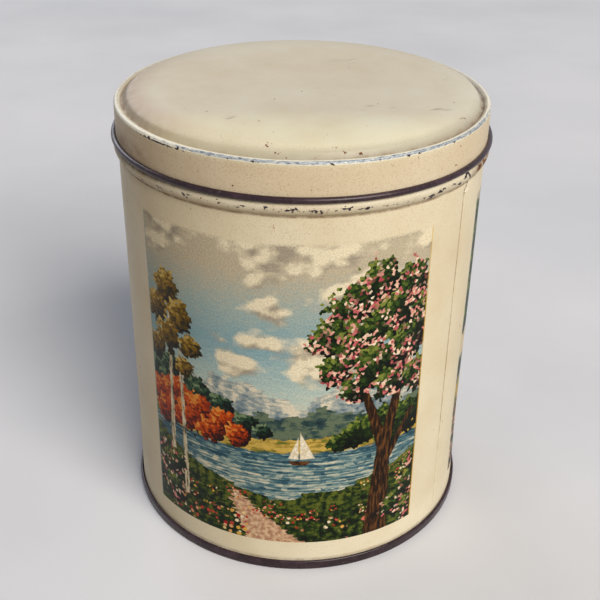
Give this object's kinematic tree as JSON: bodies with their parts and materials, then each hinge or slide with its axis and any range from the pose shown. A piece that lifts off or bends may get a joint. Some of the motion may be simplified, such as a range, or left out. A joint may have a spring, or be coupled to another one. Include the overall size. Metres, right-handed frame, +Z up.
{
  "type": "lidded tin canister",
  "caption": "Round enamelled tinplate canister with a locked side seam, a stop bead, a double-seamed base and a curled slip lid that lifts off, for keeping small sewing things.",
  "frame": {"origin": "centre of the foot, on the plane that the canister stands on", "axes": "+Z up along the tin's axis, -Y towards the front, where the picture of the picture faces, and +X to the right as seen from the front"},
  "size_m": [0.1138, 0.1138, 0.1409],
  "materials": {
    "enamelled_wall": "aged cream enamel on tinplate with printed pictures, dull gloss, chipped at the bead",
    "lacquered_base": "dark brown lacquer on tinplate, glossy",
    "enamelled_lid": "aged cream enamel on tinplate, dull gloss, worn to bare tin at the ridge, dark lacquer in the curl and inside"
  },
  "bodies": {
    "canister": {"body_wall": "enamelled_wall", "base_end": "lacquered_base"},
    "lid": {"lid": "enamelled_lid"}
  },
  "joints": [
    {"name": "lid_lift", "type": "slide", "parent": "canister", "child": "lid", "axis": [0, 0, 1], "range_m": [0, 0.06]}
  ]
}
